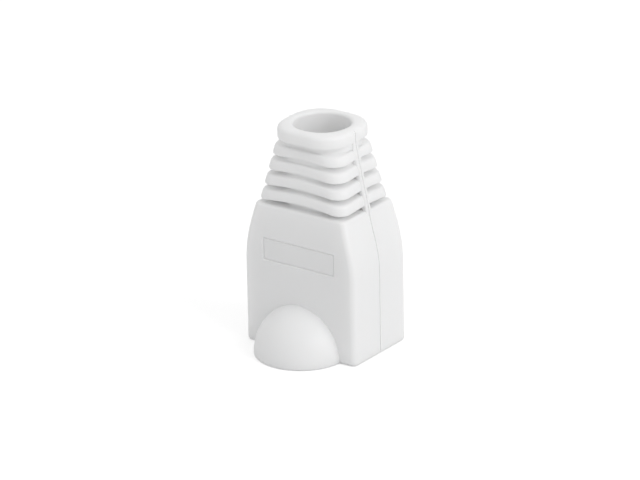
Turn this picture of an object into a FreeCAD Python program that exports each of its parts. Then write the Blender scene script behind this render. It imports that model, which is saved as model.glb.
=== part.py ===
"""Strain relief boot for an eight-way modular plug, moulded in one piece of soft PVC.

The boot is pushed along the cable and over the back of the plug. A straight body grips the plug,
a hollow dome shelters the plug's latch, and a ribbed neck bends with the cable above it.

Frame: millimetres, +Z towards the cable, origin at the centre of the plug mouth in the plane of
the rim, latch dome towards -Y, mould seams on the two X sides.
"""
import FreeCAD, Part
import math
import os
import Sketcher

Vector = FreeCAD.Vector

NODE = "strain_relief_boot"

# Which way an arc in an outline turns.
LEFT, RIGHT = 1, -1

# How near two places are when they count as one, in millimetres.
CLOSE = 1e-4

# Every driving size, in millimetres, degrees or a count.
SIZES = [
    # The straight body and its shoulders.
    ("body_width", 14.0),
    ("body_depth", 9.25),
    ("shoulder_height", 15.65),
    ("corner_round", 0.65),
    ("rim_bevel", 0.2),
    ("shoulder_bevel", 0.25),
    # The sides bend inwards above shoulder_start and go on as a straight slope.
    ("shoulder_start", 9.0),
    ("shoulder_bend", 14.0),
    ("shoulder_slope", 15.5),
    # The front and the back lean in along one wide arc.
    ("face_start", 12.5),
    ("face_bend", 20.0),
    # The bare recess for a marker on the front.
    ("label_width", 9.0),
    ("label_height", 2.45),
    ("label_base", 9.55),
    ("label_depth", 0.18),
    ("label_corner", 0.15),
    # The latch dome is a ball whose centre lies set_in behind the front face.
    ("dome_radius", 5.05),
    ("dome_set_in", 0.43),
    ("dome_rise", 0.3),
    ("dome_wall", 0.85),
    # The pocket that grips the plug, and the loft above it that follows the shoulders.
    ("plug_width", 11.7),
    ("plug_depth", 8.0),
    ("plug_clearance", 0.05),
    ("pocket_height", 11.0),
    ("pocket_corner", 0.5),
    ("roof_height", 14.6),
    ("roof_width", 9.4),
    ("roof_depth", 7.3),
    # The round bore for the cable, and the slightly oblong core of the neck around it.
    ("cable_bore", 6.0),
    ("bore_lip", 0.35),
    ("core_side_wall", 1.0),
    ("core_front_wall", 0.45),
    # The outline that the fins share, at the shoulders and under the collar.
    ("neck_base_width", 11.35),
    ("neck_base_depth", 8.85),
    ("neck_base_corner", 1.4),
    ("neck_top_width", 8.45),
    ("neck_top_depth", 7.4),
    ("neck_top_corner", 2.07),
    # Fins and gaps, measured at fin_root from the axis. Fins slope down towards their rims.
    ("fin_root", 3.7),
    ("fin_count", 4),
    ("fin_thickness", 1.0),
    ("fin_gap", 0.56),
    ("fin_slope", 8.9),
    ("fin_bevel", 0.28),
    ("fin_break", 0.12),
    ("first_gap", 0.82),
    ("collar_gap", 0.7),
    # The collar that closes the neck.
    ("collar_height", 1.35),
    ("collar_width", 8.45),
    ("collar_depth", 8.3),
    ("collar_corner", 3.1),
    ("collar_round", 0.65),
    # The spines that tie the fins together on the mould seams, and the seam's thin flash.
    ("spine_thickness", 0.85),
    ("spine_base_width", 11.6),
    ("spine_top_width", 8.4),
    ("spine_toe", 0.6),
    ("flash_width", 0.16),
    ("flash_height", 0.07),
    # How far a cutting shape reaches past what it cuts.
    ("overshoot", 0.5),
]

# Derived sizes, as formulas on the sheet.
HALF_WIDTH = "(dims.body_width / 2)"
HALF_DEPTH = "(dims.body_depth / 2)"
CORE_WIDTH = "(dims.cable_bore + 2 * dims.core_side_wall)"
CORE_DEPTH = "(dims.cable_bore + 2 * dims.core_front_wall)"
CORE_CORNER = "((dims.cable_bore + dims.core_front_wall) / 2)"
STEM_RADIUS = f"({CORE_DEPTH} / 2 - 2 * dims.fin_bevel)"
FIN_PITCH = "(dims.fin_thickness + dims.fin_gap)"
FIRST_FIN = "(dims.shoulder_height + dims.first_gap)"
FINS_TOP = f"({FIRST_FIN} + dims.fin_count * {FIN_PITCH} - dims.fin_gap)"
COLLAR_FOOT = f"({FINS_TOP} + dims.collar_gap)"
NECK_TOP = f"({FINS_TOP} + dims.collar_gap / 2)"
COLLAR_MIDDLE = f"({COLLAR_FOOT} + dims.collar_height / 2)"
TOTAL_HEIGHT = f"({COLLAR_FOOT} + dims.collar_height)"
COLLAR_WALL = "((min(dims.collar_width; dims.collar_depth) - dims.cable_bore) / 2)"
# The collar's round and the bore's lip share the collar's wall, and never meet.
COLLAR_ROUND = f"min(dims.collar_round; 0.6 * {COLLAR_WALL})"
BORE_LIP = f"min(dims.bore_lip; 0.35 * {COLLAR_WALL})"
NECK_REACH = "(sqrt(dims.neck_base_width ^ 2 + dims.neck_base_depth ^ 2) / 2)"
DOME_CENTRE = f"(dims.dome_set_in - {HALF_DEPTH})"
SPINE_FOOT = "(dims.shoulder_height - dims.spine_toe)"
PLUG_ROOM_WIDTH = "(dims.plug_width + 2 * dims.plug_clearance)"
PLUG_ROOM_DEPTH = "(dims.plug_depth + 2 * dims.plug_clearance)"

document = FreeCAD.newDocument("boot")
sheet = document.addObject("Spreadsheet::Sheet", "dims")
for row, (alias, number) in enumerate(SIZES, start=1):
    sheet.set(f"A{row}", alias)
    sheet.set(f"B{row}", str(number))
    sheet.setAlias(f"B{row}", alias)
document.recompute()

body = document.addObject("PartDesign::Body", NODE)
body.Label = NODE


def value(formula):
    """The number that a formula on the sheet gives."""
    return float(sheet.evalExpression(formula))


class Drawing:
    """A sketch on one of the body's own origin planes, with its sizes bound to the sheet."""

    def __init__(self, name, plane, lift=None):
        self.sketch = body.newObject("Sketcher::SketchObject", name)
        support = next(item for item in body.Origin.OriginFeatures if item.Role == plane)
        self.sketch.AttachmentSupport = [(support, "")]
        self.sketch.MapMode = "FlatFace"
        if lift is not None:
            self.sketch.setExpression("AttachmentOffset.Base.z", lift)

    def bind(self, kind, where, formula):
        """Add a dimension whose value is a formula on the sheet."""
        number = self.sketch.addConstraint(Sketcher.Constraint(kind, *where, value(formula)))
        name = f"size_{number}"
        self.sketch.renameConstraint(number, name)
        self.sketch.setExpression(f"Constraints.{name}", formula)

    def relate(self, kind, *where):
        """Add a constraint that has no size."""
        self.sketch.addConstraint(Sketcher.Constraint(kind, *where))

    def axis(self, across, start, end):
        """Add a construction line along the second axis, to revolve about."""
        bottom = Vector(value(across), value(start), 0)
        top = Vector(value(across), value(end), 0)
        line = self.sketch.addGeometry(Part.LineSegment(bottom, top), True)
        for point, height in ((1, start), (2, end)):
            self.bind("DistanceX", (-1, 1, line, point), across)
            self.bind("DistanceY", (-1, 1, line, point), height)

    def circle(self, radius):
        """Draw a circle about the origin."""
        ring = self.sketch.addGeometry(Part.Circle(Vector(0, 0, 0), Vector(0, 0, 1), value(radius)))
        self.relate("Coincident", ring, 3, -1, 1)
        self.bind("Radius", (ring,), radius)

    def outline(self, corners):
        """Draw a closed outline through corners.

        A corner is (across, up) as formulas, or (across, up, radius, turn) where an arc of that
        radius leads from the corner before it, turning LEFT or RIGHT.
        """
        places = [Vector(value(corner[0]), value(corner[1]), 0) for corner in corners]
        pieces = []
        for index, corner in enumerate(corners):
            start, end = places[index - 1], places[index]
            if len(corner) == 2:
                line = self.sketch.addGeometry(Part.LineSegment(start, end))
                pieces.append((line, 1, 2))
                continue
            chord = end - start
            radius, turn = value(corner[2]), corner[3]
            inwards = Vector(-chord.y, chord.x, 0) * (turn / chord.Length)
            depth = math.sqrt(radius ** 2 - chord.Length ** 2 / 4)
            centre = (start + end) / 2 + inwards * depth
            circle = Part.Circle(centre, Vector(0, 0, 1), radius)
            first, last = (start, end) if turn == LEFT else (end, start)
            arc = Part.ArcOfCircle(circle, circle.parameter(first), circle.parameter(last))
            curve = self.sketch.addGeometry(arc)
            pieces.append((curve, 1, 2) if turn == LEFT else (curve, 2, 1))
        for index, corner in enumerate(corners):
            piece, start, end = pieces[index]
            following, following_start, _ = pieces[(index + 1) % len(corners)]
            self.relate("Coincident", piece, end, following, following_start)
            self.bind("DistanceX", (-1, 1, piece, end), corner[0])
            self.bind("DistanceY", (-1, 1, piece, end), corner[1])
            if len(corner) > 2:
                self.bind("Radius", (piece,), corner[2])

    def rounded_rectangle(self, width, depth, radius):
        """Draw a rectangle about the origin with tangent corner arcs."""
        across, along, round_ = value(width) / 2, value(depth) / 2, value(radius)
        quarters = [(1, 1, 0), (-1, 1, 90), (-1, -1, 180), (1, -1, 270)]
        arcs = []
        for side, end, angle in quarters:
            centre = Vector(side * (across - round_), end * (along - round_), 0)
            circle = Part.Circle(centre, Vector(0, 0, 1), round_)
            begin = math.radians(angle)
            quarter = Part.ArcOfCircle(circle, begin, begin + math.pi / 2)
            arcs.append(self.sketch.addGeometry(quarter))
        lines = []
        for index, arc in enumerate(arcs):
            following = arcs[(index + 1) % 4]
            start = self.sketch.getPoint(arc, 2)
            end = self.sketch.getPoint(following, 1)
            line = self.sketch.addGeometry(Part.LineSegment(start, end))
            self.relate("Tangent", arc, 2, line, 1)
            self.relate("Tangent", line, 2, following, 1)
            lines.append(line)
        for index, kind in enumerate(("Horizontal", "Vertical", "Horizontal", "Vertical")):
            self.relate(kind, lines[index])
        for arc in arcs[1:]:
            self.relate("Equal", arcs[0], arc)
        self.bind("Radius", (arcs[0],), radius)
        self.bind("DistanceX", (lines[1], 1, lines[3], 1), width)
        self.bind("DistanceY", (lines[2], 1, lines[0], 1), depth)
        self.relate("Symmetric", arcs[0], 3, arcs[2], 3, -1, 1)


def feature(kind, name, drawing, **settings):
    """Add a feature made from a drawing, with its plain settings."""
    made = body.newObject(f"PartDesign::{kind}", name)
    made.Profile = drawing.sketch
    for setting, choice in settings.items():
        setattr(made, setting, choice)
    return made


def settle(made, cuts=False):
    """Recompute, and stop if a feature failed or a cut took nothing away."""
    document.recompute()
    if made.Shape.isNull() or not made.Shape.isValid():
        raise RuntimeError(f"{made.Name} has no valid shape")
    if cuts and made.Shape.Volume >= made.BaseFeature.Shape.Volume:
        raise RuntimeError(f"{made.Name} cuts nothing")
    return made


def edges_where(made, test):
    """The names of a feature's edges that pass a test."""
    edges = made.Shape.Edges
    return [f"Edge{number}" for number, edge in enumerate(edges, start=1) if test(edge)]


def soften(kind, name, made, test, size):
    """Give the edges of a feature that pass a test a Fillet or a Chamfer of a size."""
    softened = body.newObject(f"PartDesign::{kind}", name)
    softened.Base = (made, edges_where(made, test))
    softened.setExpression("Radius" if kind == "Fillet" else "Size", size)
    return settle(softened)


def rises(edge):
    """Whether an edge climbs instead of lying level."""
    return edge.BoundBox.ZLength > CLOSE


def lies_at(formula):
    """A test for level edges at one height."""
    height = value(formula)

    def test(edge):
        box = edge.BoundBox
        return abs(box.ZMin - height) < CLOSE and abs(box.ZMax - height) < CLOSE

    return test


# ---------------------------------------------------------------- shell and shoulders

def slope_x(height, outwards="0"):
    """How far out the sloping part of an X side lies at a height, moved outwards by a size."""
    bend = f"(dims.shoulder_bend + {outwards})"
    bend_x = f"({HALF_WIDTH} - dims.shoulder_bend + {bend} * cos(dims.shoulder_slope))"
    bend_z = f"(dims.shoulder_start + {bend} * sin(dims.shoulder_slope))"
    return f"({bend_x} - ({height} - {bend_z}) * tan(dims.shoulder_slope))"


def side_outline(outwards="0", top="dims.shoulder_height"):
    """Corners of the +X side from the rim up to a height, moved outwards by a size."""
    bend = f"(dims.shoulder_bend + {outwards})"
    bend_end = f"(dims.shoulder_start + {bend} * sin(dims.shoulder_slope))"
    return [
        (f"({HALF_WIDTH} + {outwards})", "0"),
        (f"({HALF_WIDTH} + {outwards})", "dims.shoulder_start"),
        (slope_x(bend_end, outwards), bend_end, bend, LEFT),
        (slope_x(top, outwards), top),
    ]


def both_sides(right):
    """Close an outline with the mirror image of its +X side, which runs upwards."""
    left = []
    arc = ()
    for corner in reversed(right):
        left.append((f"-1 * {corner[0]}", corner[1]) + arc)
        arc = corner[2:]
    return right + left


front_view = Drawing("front_view", "XZ_Plane")
front_view.outline(both_sides(side_outline()))
shell = feature("Pad", "shell", front_view, SideType="Symmetric")
shell.setExpression("Length", "dims.body_depth")
settle(shell)

lean = "(dims.shoulder_height - dims.face_start)"
lean_in = f"(dims.face_bend - sqrt(dims.face_bend ^ 2 - {lean} ^ 2))"
for name, side, turn in (("front_lean", "-1", RIGHT), ("back_lean", "1", LEFT)):
    lean_view = Drawing(f"{name}_view", "YZ_Plane")
    lean_view.outline([
        (f"{side} * ({HALF_DEPTH} + dims.overshoot)", "dims.face_start"),
        (f"{side} * {HALF_DEPTH}", "dims.face_start"),
        (f"{side} * ({HALF_DEPTH} - {lean_in})", "dims.shoulder_height", "dims.face_bend", turn),
        (f"{side} * ({HALF_DEPTH} + dims.overshoot)", "dims.shoulder_height"),
    ])
    shell = feature("Pocket", name, lean_view, SideType="Symmetric")
    shell.setExpression("Length", "dims.body_width + 2 * dims.overshoot")
    settle(shell, cuts=True)

shell = soften("Fillet", "soft_corners", shell, rises, "dims.corner_round")
shoulder_line = lies_at("dims.shoulder_height")
shell = soften("Chamfer", "shoulder_edge", shell, shoulder_line, "dims.shoulder_bevel")
shell = soften("Chamfer", "rim_edge", shell, lies_at("0"), "dims.rim_bevel")

# ---------------------------------------------------------------- marker recess

label_view = Drawing("label_view", "XZ_Plane", lift=HALF_DEPTH)
label_view.sketch.setExpression("AttachmentOffset.Base.y", "dims.label_base + dims.label_height / 2")
label_view.rounded_rectangle("dims.label_width", "dims.label_height", "dims.label_corner")
recess = feature("Pocket", "marker_recess", label_view)
recess.setExpression("Length", "dims.label_depth")
settle(recess, cuts=True)

# ---------------------------------------------------------------- latch dome

dome_view = Drawing("dome_view", "YZ_Plane")
dome_front = f"{DOME_CENTRE} - dims.dome_radius"
dome_view.axis(DOME_CENTRE, "0", "dims.dome_rise + dims.dome_radius")
dome_view.outline([
    (DOME_CENTRE, "0"),
    (f"{dome_front} + dims.rim_bevel", "0"),
    (dome_front, "dims.rim_bevel"),
    (dome_front, "dims.dome_rise"),
    (DOME_CENTRE, "dims.dome_rise + dims.dome_radius", "dims.dome_radius", RIGHT),
])
dome = feature("Revolution", "latch_dome", dome_view, ReferenceAxis=(dome_view.sketch, ["Axis0"]))
settle(dome)

# ---------------------------------------------------------------- ribbed neck

neck_foot = Drawing("neck_foot", "XY_Plane", lift="dims.shoulder_height")
neck_foot.rounded_rectangle("dims.neck_base_width", "dims.neck_base_depth", "dims.neck_base_corner")
neck_head = Drawing("neck_head", "XY_Plane", lift=NECK_TOP)
neck_head.rounded_rectangle("dims.neck_top_width", "dims.neck_top_depth", "dims.neck_top_corner")
neck = feature("AdditiveLoft", "neck_taper", neck_foot, Sections=[neck_head.sketch], Ruled=True)
settle(neck)

# The collar starts inside the gap below it, whose roof then gives it its sloping underside.
collar_view = Drawing("collar_view", "XY_Plane", lift=NECK_TOP)
collar_view.rounded_rectangle("dims.collar_width", "dims.collar_depth", "dims.collar_corner")
collar = feature("Pad", "collar", collar_view)
collar.setExpression("Length", f"{TOTAL_HEIGHT} - {NECK_TOP}")
settle(collar)


def gap_view(name, floor, height, floor_slope="dims.fin_slope"):
    """Draw the section of one gap, whose floor and height are given at fin_root."""
    reach = f"({NECK_REACH} + dims.overshoot)"
    rise = f"(dims.fin_root - {STEM_RADIUS})"
    drop = f"({reach} - dims.fin_root)"
    view = Drawing(name, "XZ_Plane")
    view.outline([
        (STEM_RADIUS, f"{floor} + {rise} * tan({floor_slope})"),
        (reach, f"{floor} - {drop} * tan({floor_slope})"),
        (reach, f"{floor} + {height} - {drop} * tan(dims.fin_slope)"),
        (STEM_RADIUS, f"{floor} + {height} + {rise} * tan(dims.fin_slope)"),
    ])
    return view


def neck_groove(name, view):
    """Cut one gap all round the neck."""
    groove = feature("Groove", name, view, ReferenceAxis=(view.sketch, ["V_Axis"]))
    return settle(groove, cuts=True)


# The gaps are cut down to a thin stem, so that each rim can be bevelled all the way round.
foot_view = gap_view("foot_gap_view", "dims.shoulder_height", "dims.first_gap", "0")
neck_groove("foot_gap", foot_view)
head_view = gap_view("head_gap_view", FINS_TOP, "dims.collar_gap")
neck_groove("head_gap", head_view)
fin_view = gap_view("fin_gap_view", f"({FIRST_FIN} + dims.fin_thickness)", "dims.fin_gap")
fin_groove = neck_groove("fin_gap", fin_view)
fin_gaps = body.newObject("PartDesign::LinearPattern", "fin_gaps")
fin_gaps.Originals = [fin_groove]
fin_gaps.Direction = (fin_view.sketch, ["V_Axis"])
fin_gaps.Mode = "Spacing"
fin_gaps.setExpression("Offset", FIN_PITCH)
fin_gaps.setExpression("Occurrences", "dims.fin_count - 1")
body.Tip = fin_gaps
settle(fin_gaps, cuts=True)


def rim_facing(made, up):
    """A test for the outer edges of a feature's sloping faces that face up, or else down."""
    stem = value(STEM_RADIUS)

    def test(edge):
        faces = made.Shape.ancestorsOfType(edge, Part.Face)
        sloping = [face for face in faces if isinstance(face.Surface, Part.Cone)]
        inner = min(math.hypot(vertex.X, vertex.Y) for vertex in edge.Vertexes)
        if len(sloping) != 1 or len(faces) != 2 or inner < stem + CLOSE:
            return False
        place = sloping[0].Surface.parameter(edge.Vertexes[0].Point)
        return (sloping[0].normalAt(*place).z > 0) == up

    return test


upper_rims = soften("Chamfer", "upper_rims", fin_gaps, rim_facing(fin_gaps, True), "dims.fin_bevel")
lower_rims = soften("Chamfer", "lower_rims", upper_rims, rim_facing(upper_rims, False), "dims.fin_break")
soften("Fillet", "collar_edge", lower_rims, lies_at(TOTAL_HEIGHT), COLLAR_ROUND)

core_view = Drawing("core_view", "XY_Plane", lift="dims.shoulder_height")
core_view.rounded_rectangle(CORE_WIDTH, CORE_DEPTH, CORE_CORNER)
core = feature("Pad", "core", core_view)
core.setExpression("Length", f"{COLLAR_MIDDLE} - dims.shoulder_height")
settle(core)

# ---------------------------------------------------------------- spines and mould seam

spine_view = Drawing("spine_view", "XZ_Plane")
spine_view.outline(both_sides([
    (slope_x(SPINE_FOOT), SPINE_FOOT),
    ("dims.spine_base_width / 2", "dims.shoulder_height"),
    ("dims.spine_top_width / 2", COLLAR_FOOT),
    ("dims.spine_top_width / 2", COLLAR_MIDDLE),
]))
spines = feature("Pad", "spines", spine_view, SideType="Symmetric")
spines.setExpression("Length", "dims.spine_thickness")
settle(spines)

flash_side = side_outline("dims.flash_height", SPINE_FOOT)
flash_foot = (flash_side[0][0], "dims.rim_bevel")
flash_view = Drawing("flash_view", "XZ_Plane")
flash_view.outline(both_sides([flash_foot] + flash_side[1:] + [
    ("(dims.spine_base_width / 2 + dims.flash_height)", "dims.shoulder_height"),
    ("(dims.spine_top_width / 2 + dims.flash_height)", COLLAR_FOOT),
    ("(dims.collar_width / 2 + dims.flash_height)", COLLAR_FOOT),
    ("(dims.collar_width / 2 + dims.flash_height)", f"({TOTAL_HEIGHT} - {COLLAR_ROUND})"),
]))
flash = feature("Pad", "seam_flash", flash_view, SideType="Symmetric")
flash.setExpression("Length", "dims.flash_width")
settle(flash)

# ---------------------------------------------------------------- hollow inside

plug_view = Drawing("plug_view", "XY_Plane")
plug_view.rounded_rectangle(PLUG_ROOM_WIDTH, PLUG_ROOM_DEPTH, "dims.pocket_corner")
plug_room = feature("Pocket", "plug_room", plug_view, Reversed=True)
plug_room.setExpression("Length", "dims.pocket_height")
settle(plug_room, cuts=True)

roof_start = Drawing("roof_start", "XY_Plane", lift="dims.pocket_height")
roof_start.rounded_rectangle(PLUG_ROOM_WIDTH, PLUG_ROOM_DEPTH, "dims.pocket_corner")
roof_end = Drawing("roof_end", "XY_Plane", lift="dims.roof_height")
roof_end.rounded_rectangle("dims.roof_width", "dims.roof_depth", "dims.pocket_corner")
roof = feature("SubtractiveLoft", "roof", roof_start, Sections=[roof_end.sketch], Ruled=True)
settle(roof, cuts=True)

bore_view = Drawing("bore_view", "XY_Plane", lift="dims.roof_height - dims.overshoot")
bore_view.circle("dims.cable_bore / 2")
bore = feature("Pocket", "cable_bore", bore_view, Reversed=True)
bore.setExpression("Length", f"{TOTAL_HEIGHT} - dims.roof_height + 2 * dims.overshoot")
settle(bore, cuts=True)

latch_view = Drawing("latch_view", "YZ_Plane")
latch_radius = "(dims.dome_radius - dims.dome_wall)"
latch_view.axis(DOME_CENTRE, "-1 * dims.overshoot", f"dims.dome_rise + {latch_radius}")
latch_view.outline([
    (DOME_CENTRE, "-1 * dims.overshoot"),
    (f"{DOME_CENTRE} - {latch_radius}", "-1 * dims.overshoot"),
    (f"{DOME_CENTRE} - {latch_radius}", "dims.dome_rise"),
    (DOME_CENTRE, f"dims.dome_rise + {latch_radius}", latch_radius, RIGHT),
])
latch_room = feature("Groove", "latch_room", latch_view, ReferenceAxis=(latch_view.sketch, ["Axis0"]))
settle(latch_room, cuts=True)


def is_bore_lip(edge):
    """Whether an edge is the cable bore's ring at the very top."""
    return lies_at(TOTAL_HEIGHT)(edge) and edge.BoundBox.XMax < value("dims.cable_bore / 2") + CLOSE


soften("Chamfer", "bore_lip", latch_room, is_bore_lip, BORE_LIP)

# ---------------------------------------------------------------- checks and output

for item in document.Objects:
    if "Invalid" in item.State or "Error" in item.State:
        raise RuntimeError(f"{item.Label} failed: {item.State}")
shape = body.Shape
if shape.isNull() or not shape.isValid() or len(shape.Solids) != 1:
    raise RuntimeError("the boot is not one valid solid")
print(f"{body.Label}: {shape.Volume:.1f} mm3, {len(shape.Faces)} faces, box {shape.BoundBox}")

os.makedirs("parts", exist_ok=True)
shape.exportStep(f"parts/{body.Label}.step")
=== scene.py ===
"""Looks of a moulded strain relief boot for a modular plug, on a pale studio floor.

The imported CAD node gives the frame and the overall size. The boot's skin is drawn again here as
one closed piece with soft rims, a rounded collar and a fine mould seam, in the satin finish of
moulded soft PVC. Shapes are drawn in millimetres and brought to metres at the end, +Z up, with
the latch dome towards -Y.
"""

import logging
import math
from collections.abc import Iterator, Sequence
from contextlib import contextmanager
from dataclasses import dataclass, field
from enum import Enum

import bmesh
import bpy
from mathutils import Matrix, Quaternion, Vector

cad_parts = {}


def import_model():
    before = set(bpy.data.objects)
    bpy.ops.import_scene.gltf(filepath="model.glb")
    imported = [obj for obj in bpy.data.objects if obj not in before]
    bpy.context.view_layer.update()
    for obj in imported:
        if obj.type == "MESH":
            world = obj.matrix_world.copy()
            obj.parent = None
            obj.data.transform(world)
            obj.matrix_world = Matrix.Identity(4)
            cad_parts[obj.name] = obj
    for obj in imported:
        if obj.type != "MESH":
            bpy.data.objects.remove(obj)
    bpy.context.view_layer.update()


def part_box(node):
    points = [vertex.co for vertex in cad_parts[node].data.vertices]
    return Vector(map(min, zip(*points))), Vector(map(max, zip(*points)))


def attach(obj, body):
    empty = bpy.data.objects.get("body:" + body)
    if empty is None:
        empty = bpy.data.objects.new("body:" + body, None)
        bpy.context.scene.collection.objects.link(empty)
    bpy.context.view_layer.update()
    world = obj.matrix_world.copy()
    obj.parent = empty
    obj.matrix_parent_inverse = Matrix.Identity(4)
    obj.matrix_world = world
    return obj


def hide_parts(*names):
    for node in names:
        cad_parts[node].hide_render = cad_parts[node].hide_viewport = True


LOG = logging.getLogger("boot")

# Metres in a millimetre.
MM = 0.001

# The CAD node that the skin stands for.
NODE = "strain_relief_boot"

# Steps of the skin along half of an X side, round a corner, and along half of a Y side.
SIDE_STEPS = 6
CORNER_STEPS = 20
FACE_STEPS = 8
QUARTER = SIDE_STEPS + CORNER_STEPS + FACE_STEPS
SLOTS = 4 * QUARTER

# Points closer than this, in millimetres, are one.
MERGE = 0.0005

# Faces that meet at less than this look like one round surface.
SMOOTH_BELOW = math.radians(32)

# A Mix node's sockets for colour share their names with others, so they go by number.
MIX_FIRST, MIX_SECOND, MIX_RESULT = 6, 7, 2


class Join(Enum):
    """How a tool shape meets the skin."""

    ADD = "UNION"
    CUT = "DIFFERENCE"


# ---------------------------------------------------------------- small helpers


def linear(hex_colour: str) -> tuple[float, float, float, float]:
    """Turn an sRGB hex colour to linear RGBA.

    Args:
        hex_colour: Six hex digits after a hash sign.

    Returns:
        Linear red, green and blue, and an alpha of one.
    """
    channels = [int(hex_colour[i:i + 2], 16) / 255 for i in (1, 3, 5)]
    curve = [c / 12.92 if c <= 0.04045 else ((c + 0.055) / 1.055) ** 2.4 for c in channels]
    return (curve[0], curve[1], curve[2], 1.0)


def per_mm(size_mm: float) -> float:
    """Scale for a texture on Object coordinates, which are metres, from a real size.

    Args:
        size_mm: The size of one feature of the pattern, in millimetres.

    Returns:
        The texture's scale.
    """
    return 1.0 / (size_mm * MM)


def add_node(
    tree: bpy.types.NodeTree,
    kind: str,
    settings: dict[str, object] | None = None,
    links: dict[str | int, bpy.types.NodeSocket] | None = None,
) -> bpy.types.Node:
    """Add a node, set its properties and inputs, and link its inputs.

    Args:
        tree: The node tree to add to.
        kind: The node's type name.
        settings: Property names, or input names, with their values.
        links: Input names or numbers with the sockets that feed them.

    Returns:
        The new node.
    """
    node = tree.nodes.new(kind)
    for name, value in (settings or {}).items():
        if name in node.inputs:
            node.inputs[name].default_value = value
        else:
            setattr(node, name, value)
    for name, socket in (links or {}).items():
        tree.links.new(socket, node.inputs[name])
    return node


def new_material(name: str) -> tuple[bpy.types.Material, bpy.types.NodeTree]:
    """Make an empty node material.

    Args:
        name: The material's name.

    Returns:
        The material and its node tree.
    """
    material = bpy.data.materials.new(name)
    material.use_nodes = True
    material.node_tree.nodes.clear()
    return material, material.node_tree


def only(piece: bpy.types.Object) -> None:
    """Make a piece the one that operators act on.

    Args:
        piece: The piece to select and make active.
    """
    bpy.ops.object.select_all(action="DESELECT")
    piece.select_set(True)
    bpy.context.view_layer.objects.active = piece


@contextmanager
def edit_mode(piece: bpy.types.Object) -> Iterator[bmesh.types.BMesh]:
    """Open a piece in edit mode with nothing selected.

    Args:
        piece: The piece to edit.

    Yields:
        The mesh being edited.
    """
    only(piece)
    bpy.ops.object.mode_set(mode="EDIT")
    bpy.ops.mesh.select_all(action="DESELECT")
    yield bmesh.from_edit_mesh(piece.data)
    bpy.ops.object.mode_set(mode="OBJECT")


def join(target: bpy.types.Object, tool: bpy.types.Object, how: Join) -> None:
    """Add a closed shape to a closed piece, or cut it away, and drop the tool.

    Args:
        target: The piece that changes.
        tool: The shape that is added or cut away.
        how: Whether it is added or cut away.
    """
    only(target)
    modifier = target.modifiers.new("join", "BOOLEAN")
    modifier.operation = how.value
    modifier.solver = "EXACT"
    modifier.object = tool
    bpy.ops.object.modifier_apply(modifier=modifier.name)
    bpy.data.objects.remove(tool, do_unlink=True)


def round_over(steps: int, power: float = 2.0) -> list[tuple[float, float]]:
    """Follow a quarter round from a side up to a top.

    Args:
        steps: How many steps the round takes.
        power: How full the round is: 2 for a circle, and more for a tighter corner.

    Returns:
        How far in from the side, and how far below the top, as shares of the radius.
    """
    turns = [math.pi / 2 * step / steps for step in range(steps + 1)]
    fullness = 2 / power
    return [
        (1 - abs(math.cos(turn)) ** fullness, 1 - math.sin(turn) ** fullness) for turn in turns]


def round_under(steps: int) -> list[tuple[float, float]]:
    """Follow a quarter round from an underside up to a side.

    Args:
        steps: How many steps the round takes.

    Returns:
        How far in from the side, and how far above the underside, as shares of the radius.
    """
    return round_over(steps)[::-1]


def between(start: float, end: float, share: float) -> float:
    """The value a share of the way from start to end."""
    return start + (end - start) * share


# ---------------------------------------------------------------- rings of skin

Place = tuple[float, float]
Ring = list[Vector]


@dataclass(frozen=True)
class Outline:
    """A rounded rectangle about the Z axis, in millimetres.

    Its places are numbered anticlockwise from +X. Every outline has the same count of them,
    and so many on each side and corner, so that skin runs cleanly from one to the next.
    """

    half_width: float
    half_depth: float
    corner: float

    def inset(self, size: float) -> "Outline":
        """The outline moved inwards by a size."""
        return Outline(self.half_width - size, self.half_depth - size, self.corner - size)

    def blend(self, other: "Outline", share: float) -> "Outline":
        """The outline a share of the way to another one.

        Args:
            other: The other outline.
            share: The share of the way to it.

        Returns:
            The outline between them.
        """
        return Outline(
            between(self.half_width, other.half_width, share),
            between(self.half_depth, other.half_depth, share),
            between(self.corner, other.corner, share))

    def place(self, slot: int) -> Place:
        """Where a numbered place lies.

        Args:
            slot: The place's number. It goes round again past the last one.

        Returns:
            How far along X and Y it lies.
        """
        quarter, step = divmod(slot % SLOTS, QUARTER)
        if quarter % 2:
            step = QUARTER - step
        inner_x, inner_y = self.half_width - self.corner, self.half_depth - self.corner
        if step < SIDE_STEPS:
            x, y = self.half_width, inner_y * step / SIDE_STEPS
        elif step <= SIDE_STEPS + CORNER_STEPS:
            turn = math.pi / 2 * (step - SIDE_STEPS) / CORNER_STEPS
            x, y = inner_x + self.corner * math.cos(turn), inner_y + self.corner * math.sin(turn)
        else:
            x, y = inner_x * (QUARTER - step) / FACE_STEPS, self.half_depth
        return (-x if quarter in (1, 2) else x), (-y if quarter in (2, 3) else y)

    def ring(self, height: float) -> Ring:
        """The outline as a level ring of skin."""
        return [Vector((*self.place(slot), height)) for slot in range(SLOTS)]


def circle(radius: float, height: float, middle_y: float, steps: int) -> Ring:
    """A level ring of skin round an upright axis.

    Args:
        radius: The ring's radius.
        height: Its height.
        middle_y: Where its middle lies along Y.
        steps: How many points it has.

    Returns:
        The ring's points.
    """
    turns = [math.tau * step / steps for step in range(steps)]
    return [
        Vector((radius * math.cos(turn), middle_y + radius * math.sin(turn), height))
        for turn in turns]


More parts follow.
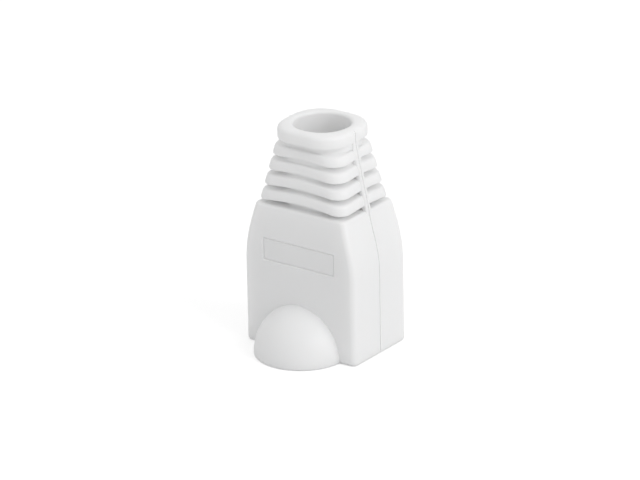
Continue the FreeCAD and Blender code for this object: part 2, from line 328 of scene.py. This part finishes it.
def pull_skin(name: str, rings: Sequence[Ring], closed: bool = False) -> bpy.types.Object:
    """Extrude an open ring through others, one after another, to a closed piece.

    Args:
        name: The piece's name.
        rings: The rings in order, with the same count of points.
        closed: Whether the skin ends where it began. Both ends are filled if not.

    Returns:
        The piece.
    """
    bpy.ops.object.select_all(action="DESELECT")
    bpy.ops.mesh.primitive_circle_add(vertices=len(rings[0]), fill_type="NOTHING")
    piece = bpy.context.active_object
    piece.name = name
    for vertex, place in zip(piece.data.vertices, rings[0]):
        vertex.co = place
    with edit_mode(piece) as mesh:
        slots = {index: index for index in range(len(rings[0]))}
        bpy.ops.mesh.select_all(action="SELECT")
        for ring in rings[1:]:
            bpy.ops.mesh.extrude_region()
            mesh.verts.index_update()
            for vertex in [vertex for vertex in mesh.verts if vertex.select]:
                others = [edge.other_vert(vertex) for edge in vertex.link_edges]
                slot = next(slots[other.index] for other in others if not other.select)
                vertex.co = ring[slot]
                slots[vertex.index] = slot
        bpy.ops.mesh.select_all(action="SELECT")
        if closed:
            bpy.ops.mesh.remove_doubles(threshold=MERGE)
        else:
            bpy.ops.mesh.fill_holes(sides=0)
        bpy.ops.mesh.select_all(action="SELECT")
        bpy.ops.mesh.normals_make_consistent(inside=False)
    return piece


# ---------------------------------------------------------------- the boot's forms


@dataclass(frozen=True)
class Body:
    """The straight body that grips the plug, with its shoulders, in millimetres."""

    half_width: float
    half_depth: float
    shoulder_height: float = 15.65
    corner: float = 0.65
    rim_round: float = 0.36
    shoulder_round: float = 0.3
    shoulder_start: float = 9.0
    shoulder_bend: float = 14.0
    shoulder_slope: float = math.radians(15.5)
    face_start: float = 12.5
    face_bend: float = 20.0
    wall_steps: int = 3
    bend_steps: int = 18
    round_steps: int = 5

    def side(self, height: float) -> float:
        """How far out an X side lies: straight, then bending in, then sloping.

        Args:
            height: The height above the rim.

        Returns:
            Its distance from the axis.
        """
        bend_end = self.shoulder_start + self.shoulder_bend * math.sin(self.shoulder_slope)
        rise = min(max(height, self.shoulder_start), bend_end) - self.shoulder_start
        bend = self.shoulder_bend - math.sqrt(self.shoulder_bend ** 2 - rise ** 2)
        slope = max(height - bend_end, 0.0) * math.tan(self.shoulder_slope)
        return self.half_width - bend - slope

    def face(self, height: float) -> float:
        """How far out the front and the back lie at a height."""
        rise = max(height - self.face_start, 0.0)
        return self.half_depth - self.face_bend + math.sqrt(self.face_bend ** 2 - rise ** 2)

    def outline(self, height: float) -> Outline:
        """The body's outline at a height."""
        return Outline(self.side(height), self.face(height), self.corner)

    def rings(self) -> list[Ring]:
        """Draw the body's outside.

        Returns:
            Rings from the rim's underside up to the flat of the shoulders.
        """
        foot = self.outline(0.0)
        rings = [
            foot.inset(self.rim_round * share).ring(self.rim_round * rise)
            for share, rise in round_under(self.round_steps)]
        for step in range(1, self.wall_steps + 1):
            rings.append(foot.ring(between(
                self.rim_round, self.shoulder_start, step / self.wall_steps)))
        bend_top = self.shoulder_height - self.shoulder_round
        for step in range(1, self.bend_steps):
            height = between(self.shoulder_start, bend_top, step / self.bend_steps)
            rings.append(self.outline(height).ring(height))
        for share, drop in round_over(self.round_steps):
            height = self.shoulder_height - self.shoulder_round * drop
            rings.append(self.outline(height).inset(self.shoulder_round * share).ring(height))
        return rings


@dataclass(frozen=True)
class Neck:
    """The core with its drooping fins, in millimetres.

    Heights of fins and gaps are taken at root from the axis, and fall outwards from there.
    """

    foot: float
    base: Outline = Outline(5.64, 4.415, 1.4)
    top: Outline = Outline(4.21, 3.625, 2.07)
    core: Outline = Outline(4.0, 3.45, 3.225)
    root: float = 3.7
    droop: float = math.radians(8.9)
    fin_count: int = 4
    fin_thickness: float = 1.0
    fin_gap: float = 0.56
    first_gap: float = 0.82
    head_gap: float = 0.7
    upper_round: float = 0.3
    lower_round: float = 0.13
    root_round: float = 0.2
    upper_steps: int = 7
    lower_steps: int = 4
    root_steps: int = 4

    @property
    def fins_top(self) -> float:
        """The height of the highest fin's top."""
        pitch = self.fin_thickness + self.fin_gap
        return self.foot + self.first_gap + self.fin_count * pitch - self.fin_gap

    @property
    def head(self) -> float:
        """The height of the collar's underside."""
        return self.fins_top + self.head_gap

    def outline(self, height: float) -> Outline:
        """The outline that the fins share at a height."""
        end = self.fins_top + self.head_gap / 2
        return self.base.blend(self.top, (height - self.foot) / (end - self.foot))

    def fall(self, place: Place) -> float:
        """How far a sloping surface has fallen below its height at the root."""
        return (math.hypot(*place) - self.root) * math.tan(self.droop)

    def sloping(self, outline: Outline, level: float) -> Ring:
        """A ring on a sloping surface, on an outline that stays the same with height."""
        places = [outline.place(slot) for slot in range(SLOTS)]
        return [Vector((*place, level - self.fall(place))) for place in places]

    def rim(self, level: float, inset: float) -> Ring:
        """A ring on a sloping surface, on the outline that the fins share.

        Args:
            level: The surface's height at the root.
            inset: How far inside that outline the ring lies.

        Returns:
            The ring's points.
        """
        ring = []
        for slot in range(SLOTS):
            outside = self.outline(level).place(slot)
            outline = self.outline(level - self.fall(outside)).inset(inset)
            place = outline.place(slot)
            ring.append(Vector((*place, level - self.fall(place))))
        return ring

    def root_up(self, level: float) -> list[Ring]:
        """Round the core's side into a surface above it.

        Args:
            level: The surface's height at the root.

        Returns:
            Rings up the core's side and out along the hollow round.
        """
        return [
            self.sloping(self.core.inset(-self.root_round * share),
                         level - self.root_round * drop)
            for share, drop in round_over(self.root_steps)]

    def root_down(self, level: float) -> list[Ring]:
        """Round a surface into the core's side above it.

        Args:
            level: The surface's height at the root.

        Returns:
            Rings in along the hollow round and up the core's side.
        """
        return [
            self.sloping(self.core.inset(-self.root_round * share),
                         level + self.root_round * rise)
            for share, rise in round_under(self.root_steps)]

    def fin(self, level: float) -> list[Ring]:
        """Draw one fin.

        Args:
            level: The height of its underside at the root.

        Returns:
            Rings from the core out along its underside and back over its top.
        """
        top = level + self.fin_thickness
        rings = self.root_up(level)
        for share, rise in round_under(self.lower_steps):
            rings.append(self.rim(level + self.lower_round * rise, self.lower_round * share))
        for share, drop in round_over(self.upper_steps):
            rings.append(self.rim(top - self.upper_round * drop, self.upper_round * share))
        return rings + self.root_down(top)

    def rings(self) -> list[Ring]:
        """Draw the core's outside and the fins.

        Returns:
            Rings from the foot of the core up to the collar's underside.
        """
        rings = [
            self.core.inset(-self.root_round * share).ring(self.foot + self.root_round * rise)
            for share, rise in round_under(self.root_steps)]
        for number in range(self.fin_count):
            rise = number * (self.fin_thickness + self.fin_gap)
            rings += self.fin(self.foot + self.first_gap + rise)
        return rings + [self.sloping(self.core, self.head)]


@dataclass(frozen=True)
class Collar:
    """The rounded collar that closes the neck round the cable bore, in millimetres."""

    top: float
    outline: Outline = Outline(4.225, 4.16, 3.1)
    lower_round: float = 0.18
    crown_height: float = 0.62
    crown_share: float = 0.76
    crown_power: float = 2.7
    lip_height: float = 0.3
    bore_radius: float = 3.0
    lower_steps: int = 4
    round_steps: int = 10

    def level(self, share: float, height: float) -> Ring:
        """A level ring between the collar's outside and the bore.

        Args:
            share: The share of the way from the outside to the bore.
            height: The ring's height.

        Returns:
            The ring's points.
        """
        ring = []
        for slot in range(SLOTS):
            outside = Vector(self.outline.place(slot))
            inside = outside.normalized() * self.bore_radius
            ring.append(Vector((*outside.lerp(inside, share), height)))
        return ring

    def rings(self, neck: Neck) -> list[Ring]:
        """Rings from the neck out and over the crown, and down the lip into the bore.

        Args:
            neck: The neck that the collar closes.

        Returns:
            The rings in order.
        """
        rings = [
            neck.sloping(self.outline.inset(self.lower_round * share),
                         neck.head + self.lower_round * rise)
            for share, rise in round_under(self.lower_steps)]
        rings += [
            self.level(self.crown_share * share, self.top - self.crown_height * drop)
            for share, drop in round_over(self.round_steps, self.crown_power)]
        rings += [
            self.level(1 - (1 - self.crown_share) * share, self.top - self.lip_height * drop)
            for share, drop in round_under(self.round_steps)[1:]]
        return rings


@dataclass(frozen=True)
class Hollow:
    """The room for the plug and its tapering roof, in millimetres."""

    room: Outline = Outline(5.9, 4.05, 0.5)
    roof: Outline = Outline(4.7, 3.65, 0.5)
    room_height: float = 11.0
    roof_height: float = 14.6

    def rings(self, collar: Collar) -> list[Ring]:
        """Draw the room's inside.

        Args:
            collar: The collar, whose bore opens into the room's roof.

        Returns:
            Rings from the bottom of the bore down to the mouth.
        """
        return [
            collar.level(1.0, self.roof_height),
            self.roof.ring(self.roof_height),
            self.room.ring(self.room_height),
            self.room.ring(0.0),
        ]


@dataclass(frozen=True)
class LatchDome:
    """The hollow dome that shelters the plug's latch, in millimetres.

    The form of its room reaches down past the rim by cut_reach, so that it cuts cleanly.
    """

    middle_y: float
    radius: float = 5.05
    rise: float = 0.3
    wall: float = 0.85
    rim_round: float = 0.2
    cut_reach: float = 1.0
    rim_steps: int = 5
    around: int = 160
    over: int = 40

    def ball(self, radius: float) -> list[Ring]:
        """Draw the upper half of a ball.

        Args:
            radius: The ball's radius.

        Returns:
            Rings from its widest to half a step short of its top.
        """
        turns = [math.pi / 2 * step / (self.over + 0.5) for step in range(self.over + 1)]
        return [
            circle(radius * math.cos(turn), self.rise + radius * math.sin(turn),
                   self.middle_y, self.around)
            for turn in turns]

    def outside(self, wall_middle: float) -> bpy.types.Object:
        """The dome's own form, cut off inside the front wall.

        Args:
            wall_middle: Where the middle of the front wall lies along Y.

        Returns:
            The form, to be added to the body.
        """
        foot = [
            circle(self.radius - self.rim_round * share, self.rim_round * rise,
                   self.middle_y, self.around)
            for share, rise in round_under(self.rim_steps)]
        form = pull_skin("dome_form", foot + self.ball(self.radius))
        with edit_mode(form):
            bpy.ops.mesh.select_all(action="SELECT")
            bpy.ops.mesh.bisect(
                plane_co=(0, wall_middle, 0), plane_no=(0, 1, 0), clear_outer=True, use_fill=True)
        return form

    def inside(self) -> bpy.types.Object:
        """The latch's own room.

        Returns:
            The form, to be cut away through the mouth.
        """
        radius = self.radius - self.wall
        foot = circle(radius, -self.cut_reach, self.middle_y, self.around)
        return pull_skin("latch_room", [foot] + self.ball(radius))


@dataclass(frozen=True)
class Seam:
    """One X side's spine, which ties the fins, and its mould seam: a fine flash and a nick.

    Sizes are in millimetres. The spine starts in the shoulder, toe below its top and toe_sink
    under its skin, and ends in the collar, head_rise up. The seam goes on over the collar's
    side and the first crown_reach points of its crown. The spine and the flash are sunk into
    the skin by depth, and the nick's form stands out of it by as much.
    """

    body: Body
    neck: Neck
    collar: Collar
    spine_thickness: float = 0.85
    spine_round: float = 0.26
    spine_base: float = 5.8
    spine_top: float = 4.2
    toe: float = 0.6
    toe_sink: float = 0.02
    head_rise: float = 0.4
    collar_foot: float = 0.05
    crown_steps: int = 8
    crown_reach: int = 5
    depth: float = 0.7
    flash_width: float = 0.14
    flash_height: float = 0.07
    flash_round: float = 0.012
    nick_width: float = 0.055
    nick_depth: float = 0.05

    @property
    def toe_height(self) -> float:
        """The height at which the spine leaves the shoulder."""
        return self.body.shoulder_height - self.toe

    def bar(
        self, side: int, reach: tuple[float, float], height: float, across: tuple[float, float],
        corner: float,
    ) -> Ring:
        """A ring round a bar along the seam.

        Args:
            side: Which X side it lies on, 1 or -1.
            reach: How far out it starts and ends.
            height: The ring's height.
            across: Where it starts and ends along Y.
            corner: The round of its edges.

        Returns:
            The ring's points.
        """
        (start, end), (low, high) = reach, across
        outline = Outline((end - start) / 2, (high - low) / 2, corner)
        middle = Vector((side * (start + end) / 2, (low + high) / 2, 0))
        return [place + middle for place in outline.ring(height)]

    def spine(self, side: int) -> bpy.types.Object:
        """The spine's form.

        Args:
            side: Which X side it lies on, 1 or -1.

        Returns:
            The form, to be added to the skin.
        """
        crests = [
            (self.body.side(self.toe_height) - self.toe_sink, self.toe_height),
            (self.spine_base, self.body.shoulder_height),
            (self.spine_top, self.neck.head),
            (self.spine_top, self.neck.head + self.head_rise),
        ]
        half = self.spine_thickness / 2
        return pull_skin("spine_form", [
            self.bar(side, (crest - self.depth, crest), height, (-half, half), self.spine_round)
            for crest, height in crests])

    def path(self, foot: float) -> list[tuple[float, float]]:
        """Follow the skin up the seam to the collar's crown.

        Args:
            foot: The height at which the path starts.

        Returns:
            How far out the skin lies, and the height, at each point.
        """
        body, collar = self.body, self.collar
        crests = [(body.half_width, foot), (body.half_width, body.shoulder_start)]
        for step in range(1, body.bend_steps + 1):
            height = between(body.shoulder_start, self.toe_height, step / body.bend_steps)
            crests.append((body.side(height), height))
        crests += [(self.spine_base, body.shoulder_height), (self.spine_top, self.neck.head)]
        crests.append((collar.outline.half_width, self.neck.head + self.collar_foot))
        wall = collar.outline.half_width - collar.bore_radius
        for share, drop in round_over(self.crown_steps, collar.crown_power)[:self.crown_reach]:
            crests.append((
                collar.outline.half_width - wall * collar.crown_share * share,
                collar.top - collar.crown_height * drop))
        return crests

    def flash(self, side: int) -> bpy.types.Object:
        """The flash's form, from the rim up over the collar's side.

        Args:
            side: Which X side it lies on, 1 or -1.

        Returns:
            The form, to be added to the skin.
        """
        half = self.flash_width / 2
        return pull_skin("flash_form", [
            self.bar(side, (crest - self.depth, crest + self.flash_height), height,
                     (-half, half), self.flash_round)
            for crest, height in self.path(self.body.rim_round)])

    def nick(self, side: int) -> bpy.types.Object:
        """The fine nick beside the flash, where the mould's halves don't quite meet.

        Args:
            side: Which X side it lies on, 1 or -1.

        Returns:
            The form, to be cut away from the skin.
        """
        edge = -self.flash_width / 2
        return pull_skin("nick_form", [
            self.bar(side, (crest - self.nick_depth, crest + self.depth), height,
                     (edge - self.nick_width, edge), self.flash_round)
            for crest, height in self.path(-self.depth)])


@dataclass(frozen=True)
class MarkerRecess:
    """The shallow bare recess for a marker on the front, with a fine groove round its floor.

    Sizes are in millimetres. Its form stands out of the front by reach, so that it cuts cleanly.
    """

    half_width: float = 4.5
    half_height: float = 1.225
    foot: float = 9.55
    corner: float = 0.15
    lip: float = 0.08
    floor_depth: float = 0.07
    groove_depth: float = 0.17
    groove_width: float = 0.09
    groove_slope: float = 0.16
    floor_corner: float = 0.03
    reach: float = 0.5

    def form(self, front_y: float) -> bpy.types.Object:
        """The recess's form.

        Args:
            front_y: Where the front face lies along Y.

        Returns:
            The form, to be cut away from the front.
        """
        outline = Outline(self.half_width, self.half_height, self.corner)
        mouth = outline.inset(-self.lip)
        floor = Outline(
            self.half_width - self.groove_slope, self.half_height - self.groove_slope,
            self.floor_corner)
        middle = self.foot + self.half_height
        rings = [
            mouth.ring(-self.reach),
            mouth.ring(0.0),
            outline.ring(self.lip),
            outline.ring(self.groove_depth),
            outline.inset(self.groove_width).ring(self.groove_depth),
            floor.ring(self.floor_depth),
        ]
        return pull_skin("recess_form", [
            [Vector((place.x, front_y + place.z, middle + place.y)) for place in ring]
            for ring in rings])


# ---------------------------------------------------------------- finishes


@dataclass(frozen=True)
class SoftPvc:
    """Plasticised PVC, injection moulded: white, soft to the thumb, with a satin skin.

    Light goes a millimetre or two into it, so edges and thin fins look soft and their shade is
    pale. The skin shows a broad weak shine, broken by the mould's fine texture.
    """

    name: str = "soft_pvc_moulded"
    colour: str = "#F9F9F9"
    shade: str = "#F6F6F6"
    roughness_low: float = 0.37
    roughness_high: float = 0.48
    ior: float = 1.5
    glow_weight: float = 0.4
    glow_depth_mm: float = 1.6
    glow_reach: tuple[float, float, float] = (1.0, 0.97, 0.94)
    grain_mm: float = 0.09
    grain_detail: float = 2.0
    grain_height_mm: float = 0.002
    grain_strength: float = 0.4
    flow_mm: float = 5.0
    flow_detail: float = 3.0

    def material(self) -> bpy.types.Material:
        """Build the node material.

        Returns:
            The material.
        """
        material, tree = new_material(self.name)
        place = add_node(tree, "ShaderNodeTexCoord").outputs["Object"]
        # Slow drifts of tone from the melt's flow keep the flat faces from looking printed.
        flow = add_node(
            tree, "ShaderNodeTexNoise",
            {"Scale": per_mm(self.flow_mm), "Detail": self.flow_detail}, {"Vector": place})
        colour = add_node(
            tree, "ShaderNodeMix", {"data_type": "RGBA"}, {"Factor": flow.outputs["Fac"]})
        colour.inputs[MIX_FIRST].default_value = linear(self.colour)
        colour.inputs[MIX_SECOND].default_value = linear(self.shade)
        # The mould's fine texture breaks the shine up. Real grains are finer than these, too
        # fine to show, so they are drawn as coarse as they need to be.
        grain = add_node(
            tree, "ShaderNodeTexNoise",
            {"Scale": per_mm(self.grain_mm), "Detail": self.grain_detail}, {"Vector": place})
        roughness = add_node(
            tree, "ShaderNodeMapRange",
            {"To Min": self.roughness_low, "To Max": self.roughness_high},
            {"Value": grain.outputs["Fac"]})
        bump = add_node(
            tree, "ShaderNodeBump",
            {"Strength": self.grain_strength, "Distance": self.grain_height_mm * MM},
            {"Height": grain.outputs["Fac"]})
        skin = add_node(
            tree, "ShaderNodeBsdfPrincipled",
            {
                "IOR": self.ior,
                "Subsurface Weight": self.glow_weight,
                "Subsurface Radius": self.glow_reach,
                "Subsurface Scale": self.glow_depth_mm * MM,
            },
            {
                "Base Color": colour.outputs[MIX_RESULT],
                "Roughness": roughness.outputs["Result"],
                "Normal": bump.outputs["Normal"],
            })
        add_node(tree, "ShaderNodeOutputMaterial", None, {"Surface": skin.outputs["BSDF"]})
        return material


@dataclass(frozen=True)
class RolledPaper:
    """Matt white studio paper off the roll: no shine, and one pale tone that takes a shadow."""

    name: str = "matt_paper_rolled"
    colour: str = "#EDEDED"
    camera_glow: float = 0.35

    def material(self) -> bpy.types.Material:
        """Build the node material.

        Returns:
            The material.
        """
        material, tree = new_material(self.name)
        paper = add_node(tree, "ShaderNodeBsdfDiffuse", {"Color": linear(self.colour)})
        # A glow that only the camera sees makes the paper white, with no more light on the boot.
        seen = add_node(tree, "ShaderNodeLightPath").outputs["Is Camera Ray"]
        strength = add_node(
            tree, "ShaderNodeMapRange", {"To Max": self.camera_glow}, {"Value": seen})
        glow = add_node(tree, "ShaderNodeEmission", None, {"Strength": strength.outputs["Result"]})
        both = add_node(
            tree, "ShaderNodeAddShader", None, {0: paper.outputs[0], 1: glow.outputs[0]})
        add_node(tree, "ShaderNodeOutputMaterial", None, {"Surface": both.outputs[0]})
        return material


# ---------------------------------------------------------------- the whole boot


@dataclass
class Boot:
    """The moulded boot, drawn as one closed skin in the CAD node's own frame.

    Sizes are in millimetres. The dome's middle lies behind the front face by dome_set_in.
    """

    width: float
    depth: float
    height: float
    dome_set_in: float = 0.43
    finish: SoftPvc = field(default_factory=SoftPvc)

    def build(self) -> bpy.types.Object:
        """Draw the skin, add and cut its forms, and give it its finish.

        Returns:
            The finished piece.
        """
        body = Body(self.width / 2, self.depth / 2)
        neck = Neck(body.shoulder_height)
        collar = Collar(self.height)
        hollow = Hollow()
        rings = body.rings() + neck.rings() + collar.rings(neck) + hollow.rings(collar)
        piece = pull_skin("boot_skin", rings + rings[:1], closed=True)
        front_y = -body.half_depth
        dome = LatchDome(front_y + self.dome_set_in)
        join(piece, dome.outside((front_y - hollow.room.half_depth) / 2), Join.ADD)
        seam = Seam(body, neck, collar)
        for side in (1, -1):
            join(piece, seam.spine(side), Join.ADD)
            join(piece, seam.flash(side), Join.ADD)
            join(piece, seam.nick(side), Join.CUT)
        join(piece, dome.inside(), Join.CUT)
        join(piece, MarkerRecess().form(front_y), Join.CUT)
        self.finish_mesh(piece)
        piece.data.materials.clear()
        piece.data.materials.append(self.finish.material())
        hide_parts(NODE)
        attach(piece, "root")
        return piece

    def finish_mesh(self, piece: bpy.types.Object) -> None:
        """Merge doubles, bring the piece to metres, and shade it smooth between its edges.

        Args:
            piece: The piece, drawn in millimetres.
        """
        with edit_mode(piece):
            bpy.ops.mesh.select_all(action="SELECT")
            bpy.ops.mesh.remove_doubles(threshold=MERGE)
            bpy.ops.mesh.normals_make_consistent(inside=False)
        only(piece)
        piece.scale = (MM, MM, MM)
        bpy.ops.object.transform_apply(location=True, rotation=True, scale=True)
        bpy.ops.object.shade_smooth_by_angle(angle=SMOOTH_BELOW)
        weigh = piece.modifiers.new("weigh", "WEIGHTED_NORMAL")
        weigh.keep_sharp = True
        bpy.ops.object.modifier_apply(modifier=weigh.name)


# ---------------------------------------------------------------- studio and camera


@dataclass
class Studio:
    """A pale floor in a white tent that is brighter overhead, with one softbox at the right.

    Lengths are in metres. A level is the light on a surface that faces it, against white.
    """

    floor_width: float = 1.2
    paper: RolledPaper = field(default_factory=RolledPaper)
    horizon_level: float = 0.645
    zenith_level: float = 1.12
    lamp_towards: tuple[float, float, float] = (0.85, -0.03, 0.5)
    lamp_distance: float = 0.8
    lamp_size: float = 0.5
    lamp_level: float = 0.83

    def build(self, floor_height: float) -> None:
        """Lay the floor, put up the tent and hang the softbox.

        Args:
            floor_height: The height of what the object stands on.
        """
        self.floor(floor_height)
        self.tent()
        self.softbox()

    def floor(self, height: float) -> None:
        """Lay a wide pale floor that keeps the object's shadow.

        Args:
            height: The floor's height.
        """
        bpy.ops.object.select_all(action="DESELECT")
        bpy.ops.mesh.primitive_plane_add(size=self.floor_width, location=(0, 0, height))
        plane = bpy.context.active_object
        plane.name = "studio_floor"
        bpy.ops.object.transform_apply(location=True, rotation=True, scale=True)
        plane.data.materials.append(self.paper.material())

    def tent(self) -> None:
        """Light everything from a tent that is brighter overhead, and looks white itself."""
        world = bpy.data.worlds.new("studio_tent")
        world.use_nodes = True
        tree = world.node_tree
        tree.nodes.clear()
        direction = add_node(tree, "ShaderNodeTexCoord").outputs["Generated"]
        height = add_node(tree, "ShaderNodeSeparateXYZ", None, {0: direction}).outputs["Z"]
        level = add_node(
            tree, "ShaderNodeMapRange",
            {"To Min": self.horizon_level, "To Max": self.zenith_level}, {"Value": height})
        path = add_node(tree, "ShaderNodeLightPath")
        seen = add_node(
            tree, "ShaderNodeMath", {"operation": "MAXIMUM"},
            {0: path.outputs["Is Camera Ray"], 1: path.outputs["Is Glossy Ray"]})
        strength = add_node(
            tree, "ShaderNodeMapRange", {"To Max": 1.0},
            {"Value": seen.outputs[0], "To Min": level.outputs["Result"]})
        back = add_node(
            tree, "ShaderNodeBackground", None, {"Strength": strength.outputs["Result"]})
        add_node(tree, "ShaderNodeOutputWorld", None, {"Surface": back.outputs[0]})
        bpy.context.scene.world = world

    def softbox(self) -> None:
        """Hang a square lamp that faces the object."""
        light = bpy.data.lights.new("side_softbox", "AREA")
        light.shape = "SQUARE"
        light.size = self.lamp_size
        light.energy = self.lamp_level * math.pi * self.lamp_distance ** 2
        lamp = bpy.data.objects.new("side_softbox", light)
        bpy.context.scene.collection.objects.link(lamp)
        direction = Vector(self.lamp_towards).normalized()
        lamp.location = direction * self.lamp_distance
        lamp.rotation_euler = direction.to_track_quat("Z", "Y").to_euler()


@dataclass
class Camera:
    """The view: from the front right, a little above, with a long lens.

    Angles are in degrees, distances in metres, and the lens in millimetres.
    """

    azimuth: float = 36.28
    elevation: float = 21.77
    roll: float = -1.06
    distance: float = 455.8 * MM
    lens: float = 247.4
    nearest: float = 0.01
    farthest: float = 10.0
    target: Vector = field(default_factory=lambda: Vector((-0.568, 0.0, 11.005)) * MM)

    def make(self) -> None:
        """Create the camera and make it the scene's own."""
        around, above = math.radians(self.azimuth), math.radians(self.elevation)
        back = Vector((
            math.sin(around) * math.cos(above),
            -math.cos(around) * math.cos(above),
            math.sin(above)))
        data = bpy.data.cameras.new("camera")
        data.lens = self.lens
        data.clip_start = self.nearest
        data.clip_end = self.farthest
        camera = bpy.data.objects.new("camera", data)
        bpy.context.scene.collection.objects.link(camera)
        camera.location = self.target + back * self.distance
        facing = (-back).to_track_quat("-Z", "Y")
        turned = facing @ Quaternion((0, 0, 1), math.radians(self.roll))
        camera.rotation_euler = turned.to_euler()
        bpy.context.scene.camera = camera


def main() -> None:
    """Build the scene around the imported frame."""
    logging.basicConfig(level=logging.INFO)
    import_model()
    bpy.context.scene.view_settings.view_transform = "Standard"
    low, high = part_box(NODE)
    # The box holds the flash on both sides too, and reaches past the body's front to the dome.
    flash = 2 * Seam.flash_height
    boot = Boot((high.x - low.x) / MM - flash, 2 * high.y / MM, high.z / MM)
    piece = boot.build()
    LOG.info("%s: %d faces", piece.name, len(piece.data.polygons))
    Studio().build(low.z)
    Camera().make()


if __name__ == "__main__":
    main()
